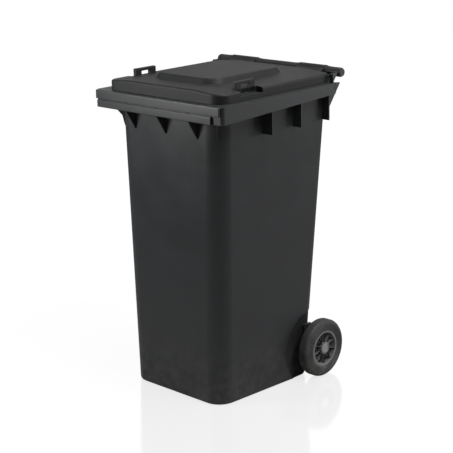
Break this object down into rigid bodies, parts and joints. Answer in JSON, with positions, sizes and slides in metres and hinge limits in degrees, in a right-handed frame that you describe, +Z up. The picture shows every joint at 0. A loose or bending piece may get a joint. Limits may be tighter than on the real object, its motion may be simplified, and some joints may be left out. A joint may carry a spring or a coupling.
{
  "type": "wheelie bin",
  "caption": "Two-wheeled refuse bin: tapered plastic tub with comb lip and rear handle bar, hinged lid with side grips, rubber-tyred wheels on a steel axle.",
  "frame": {"origin": "on the ground, at the middle of the bin's box", "axes": "+Z up, -Y the front with the comb lip, +Y the rear with wheels and handle, +X to the right seen from the front"},
  "size_m": [0.58, 0.606, 1.0732],
  "materials": {
    "tub_plastic": "fine moulded grain, dark anthracite",
    "lid_plastic": "fine moulded grain, dark anthracite",
    "pin_plastic": "smooth moulded",
    "axle_steel": "zinc plated bar",
    "nut_steel": "zinc plated",
    "spacer_plastic": "smooth",
    "tyre_rubber": "solid rubber",
    "wheel_plastic": "satin moulded",
    "bush_plastic": "natural nylon",
    "pad_rubber": "soft",
    "transponder_plastic": "smooth"
  },
  "bodies": {
    "tub": {"tub": "tub_plastic", "hinge_pin_left": "pin_plastic", "hinge_pin_right": "pin_plastic", "axle": "axle_steel", "axle_spacer_left": "spacer_plastic", "axle_spacer_right": "spacer_plastic", "push_nut_left": "nut_steel", "push_nut_right": "nut_steel", "transponder": "transponder_plastic", "transponder_plug": "pin_plastic"},
    "lid": {"lid": "lid_plastic", "lid_pads": "pad_rubber"},
    "wheel_left": {"tyre_left": "tyre_rubber", "wheel_left": "wheel_plastic", "bush_inner_left": "bush_plastic", "bush_outer_left": "bush_plastic", "hub_cap_left": "wheel_plastic"},
    "wheel_right": {"tyre_right": "tyre_rubber", "wheel_right": "wheel_plastic", "bush_inner_right": "bush_plastic", "bush_outer_right": "bush_plastic", "hub_cap_right": "wheel_plastic"}
  },
  "joints": [
    {"name": "lid_hinge", "type": "hinge", "parent": "tub", "child": "lid", "pos_m": [0, 0.284, 1.05], "axis": [-1, 0, 0], "range_deg": [0, 270]},
    {"name": "wheel_left_spin", "type": "hinge", "parent": "tub", "child": "wheel_left", "pos_m": [-0.265, 0.198, 0.1], "axis": [1, 0, 0], "continuous": true},
    {"name": "wheel_right_spin", "type": "hinge", "parent": "tub", "child": "wheel_right", "pos_m": [0.265, 0.198, 0.1], "axis": [1, 0, 0], "continuous": true}
  ]
}
